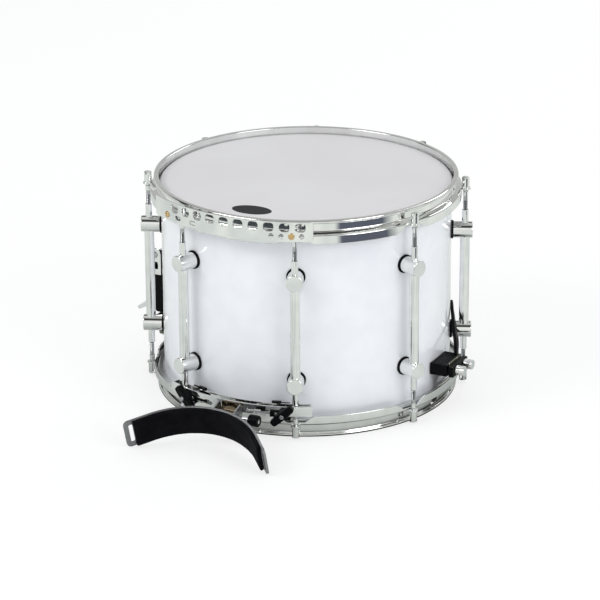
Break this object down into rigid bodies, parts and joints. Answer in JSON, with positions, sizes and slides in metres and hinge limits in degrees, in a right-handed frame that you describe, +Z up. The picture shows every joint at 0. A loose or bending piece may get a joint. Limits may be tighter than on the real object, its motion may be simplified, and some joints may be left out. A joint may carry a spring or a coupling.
{
  "type": "marching snare drum",
  "caption": "Marching snare drum: tensioned heads on a white shell with tube lugs, a strainer and butt for the snares, a pierced sling strip and a tilting padded knee rest.",
  "frame": {"origin": "centre of the batter head's top surface", "axes": "+Z up out of the batter head, the knee rest and sling strip towards -Y, the butt towards +X and the strainer towards -X"},
  "size_m": [0.4515, 0.4902, 0.278],
  "materials": {
    "shell_lacquer": "white gloss lacquer on a wooden ply shell",
    "head_film": "coated white film",
    "flesh_hoop_aluminium": "mill aluminium",
    "chrome": "bright chrome plate",
    "rod_steel": "plated steel",
    "brass": "plain brass",
    "black_nylon": "black moulded nylon",
    "black_casting": "black enamel on a casting",
    "aluminium": "satin aluminium",
    "pad_foam": "black cellular foam with a cloth face"
  },
  "bodies": {
    "root": {"shell": "shell_lacquer", "batter_head": "head_film", "snare_side_head": "head_film", "batter_flesh_hoop": "flesh_hoop_aluminium", "snare_side_flesh_hoop": "flesh_hoop_aluminium", "batter_hoop": "chrome", "snare_side_hoop": "chrome", "lug_1": "chrome", "lug_2": "chrome", "lug_3": "chrome", "lug_4": "chrome", "lug_5": "chrome", "lug_6": "chrome", "lug_7": "chrome", "lug_8": "chrome", "sling_strip": "chrome", "sling_bracket_left": "rod_steel", "sling_bracket_right": "rod_steel", "sling_rivet_left": "brass", "sling_rivet_right": "brass", "snare_set": "black_nylon", "strainer_base": "black_casting", "strainer_pivot_pin": "rod_steel", "butt_housing": "black_casting", "butt_clamp_plate": "black_casting", "butt_stay": "black_casting", "knee_rest_rail": "chrome", "rail_claw_left": "black_casting", "rail_claw_right": "black_casting", "hinge_tongue": "brass", "hinge_pin": "rod_steel"},
    "batter_tension_1": {"batter_rod_1": "rod_steel"},
    "batter_tension_2": {"batter_rod_2": "rod_steel"},
    "batter_tension_3": {"batter_rod_3": "rod_steel"},
    "batter_tension_4": {"batter_rod_4": "rod_steel"},
    "batter_tension_5": {"batter_rod_5": "rod_steel"},
    "batter_tension_6": {"batter_rod_6": "rod_steel"},
    "batter_tension_7": {"batter_rod_7": "rod_steel"},
    "batter_tension_8": {"batter_rod_8": "rod_steel"},
    "snare_side_tension_1": {"snare_side_rod_1": "rod_steel"},
    "snare_side_tension_2": {"snare_side_rod_2": "rod_steel"},
    "snare_side_tension_3": {"snare_side_rod_3": "rod_steel"},
    "snare_side_tension_4": {"snare_side_rod_4": "rod_steel"},
    "snare_side_tension_5": {"snare_side_rod_5": "rod_steel"},
    "snare_side_tension_6": {"snare_side_rod_6": "rod_steel"},
    "snare_side_tension_7": {"snare_side_rod_7": "rod_steel"},
    "snare_side_tension_8": {"snare_side_rod_8": "rod_steel"},
    "lever": {"strainer_lever": "chrome"},
    "slide": {"strainer_slide": "rod_steel", "strainer_clamp_block": "black_casting", "strainer_clamp_cover": "black_casting"},
    "adjusting_wheel": {"strainer_adjusting_wheel": "rod_steel"},
    "thumb_screw_left": {"butt_thumb_screw_left": "chrome"},
    "thumb_screw_right": {"butt_thumb_screw_right": "chrome"},
    "wing_nut_left": {"rail_wing_nut_left": "black_casting"},
    "wing_nut_right": {"rail_wing_nut_right": "black_casting"},
    "lock_knob": {"tilt_lock_knob": "black_casting"},
    "knee_rest": {"hinge_cheeks": "aluminium", "knee_plate": "aluminium", "knee_pad": "pad_foam"}
  },
  "joints": [
    {"name": "batter_rod_1_turn", "type": "hinge", "parent": "root", "child": "batter_tension_1", "pos_m": [0.07439, -0.1796, -0.03], "axis": [0, 0, 1], "continuous": true},
    {"name": "batter_rod_2_turn", "type": "hinge", "parent": "root", "child": "batter_tension_2", "pos_m": [0.1796, -0.07439, -0.03], "axis": [0, 0, 1], "continuous": true},
    {"name": "batter_rod_3_turn", "type": "hinge", "parent": "root", "child": "batter_tension_3", "pos_m": [0.1796, 0.07439, -0.03], "axis": [0, 0, 1], "continuous": true},
    {"name": "batter_rod_4_turn", "type": "hinge", "parent": "root", "child": "batter_tension_4", "pos_m": [0.07439, 0.1796, -0.03], "axis": [0, 0, 1], "continuous": true},
    {"name": "batter_rod_5_turn", "type": "hinge", "parent": "root", "child": "batter_tension_5", "pos_m": [-0.07439, 0.1796, -0.03], "axis": [0, 0, 1], "continuous": true},
    {"name": "batter_rod_6_turn", "type": "hinge", "parent": "root", "child": "batter_tension_6", "pos_m": [-0.1796, 0.07439, -0.03], "axis": [0, 0, 1], "continuous": true},
    {"name": "batter_rod_7_turn", "type": "hinge", "parent": "root", "child": "batter_tension_7", "pos_m": [-0.1796, -0.07439, -0.03], "axis": [0, 0, 1], "continuous": true},
    {"name": "batter_rod_8_turn", "type": "hinge", "parent": "root", "child": "batter_tension_8", "pos_m": [-0.07439, -0.1796, -0.03], "axis": [0, 0, 1], "continuous": true},
    {"name": "snare_side_rod_1_turn", "type": "hinge", "parent": "root", "child": "snare_side_tension_1", "pos_m": [0.07439, -0.1796, -0.23], "axis": [0, 0, 1], "continuous": true},
    {"name": "snare_side_rod_2_turn", "type": "hinge", "parent": "root", "child": "snare_side_tension_2", "pos_m": [0.1796, -0.07439, -0.23], "axis": [0, 0, 1], "continuous": true},
    {"name": "snare_side_rod_3_turn", "type": "hinge", "parent": "root", "child": "snare_side_tension_3", "pos_m": [0.1796, 0.07439, -0.23], "axis": [0, 0, 1], "continuous": true},
    {"name": "snare_side_rod_4_turn", "type": "hinge", "parent": "root", "child": "snare_side_tension_4", "pos_m": [0.07439, 0.1796, -0.23], "axis": [0, 0, 1], "continuous": true},
    {"name": "snare_side_rod_5_turn", "type": "hinge", "parent": "root", "child": "snare_side_tension_5", "pos_m": [-0.07439, 0.1796, -0.23], "axis": [0, 0, 1], "continuous": true},
    {"name": "snare_side_rod_6_turn", "type": "hinge", "parent": "root", "child": "snare_side_tension_6", "pos_m": [-0.1796, 0.07439, -0.23], "axis": [0, 0, 1], "continuous": true},
    {"name": "snare_side_rod_7_turn", "type": "hinge", "parent": "root", "child": "snare_side_tension_7", "pos_m": [-0.1796, -0.07439, -0.23], "axis": [0, 0, 1], "continuous": true},
    {"name": "snare_side_rod_8_turn", "type": "hinge", "parent": "root", "child": "snare_side_tension_8", "pos_m": [-0.07439, -0.1796, -0.23], "axis": [0, 0, 1], "continuous": true},
    {"name": "strainer_lever_swing", "type": "hinge", "parent": "root", "child": "lever", "pos_m": [-0.204, 0, -0.1254], "axis": [0, 1, 0], "range_deg": [0, 105]},
    {"name": "strainer_slide_drop", "type": "slide", "parent": "root", "child": "slide", "axis": [0, 0, -1], "range_m": [0, 0.007]},
    {"name": "adjusting_wheel_turn", "type": "hinge", "parent": "slide", "child": "adjusting_wheel", "pos_m": [-0.194, 0, -0.2046], "axis": [0, 0, 1], "continuous": true},
    {"name": "thumb_screw_left_turn", "type": "hinge", "parent": "root", "child": "thumb_screw_left", "pos_m": [0.214, -0.012, -0.2114], "axis": [1, 0, 0], "continuous": true},
    {"name": "thumb_screw_right_turn", "type": "hinge", "parent": "root", "child": "thumb_screw_right", "pos_m": [0.214, 0.012, -0.2114], "axis": [1, 0, 0], "continuous": true},
    {"name": "wing_nut_left_turn", "type": "hinge", "parent": "root", "child": "wing_nut_left", "pos_m": [-0.06468, -0.19558, -0.2279], "axis": [-0.314, -0.9494, 0], "continuous": true},
    {"name": "wing_nut_right_turn", "type": "hinge", "parent": "root", "child": "wing_nut_right", "pos_m": [0.06468, -0.19558, -0.2279], "axis": [0.314, -0.9494, 0], "continuous": true},
    {"name": "lock_knob_turn", "type": "hinge", "parent": "root", "child": "lock_knob", "pos_m": [0.0358, -0.212, -0.2339], "axis": [1, 0, 0], "continuous": true},
    {"name": "knee_rest_tilt", "type": "hinge", "parent": "root", "child": "knee_rest", "pos_m": [0, -0.212, -0.2339], "axis": [1, 0, 0], "range_deg": [-15, 45]}
  ],
  "couplings": [
    {"joint": "strainer_slide_drop", "follows": "strainer_lever_swing", "m_per_rad": 0.003819}
  ]
}
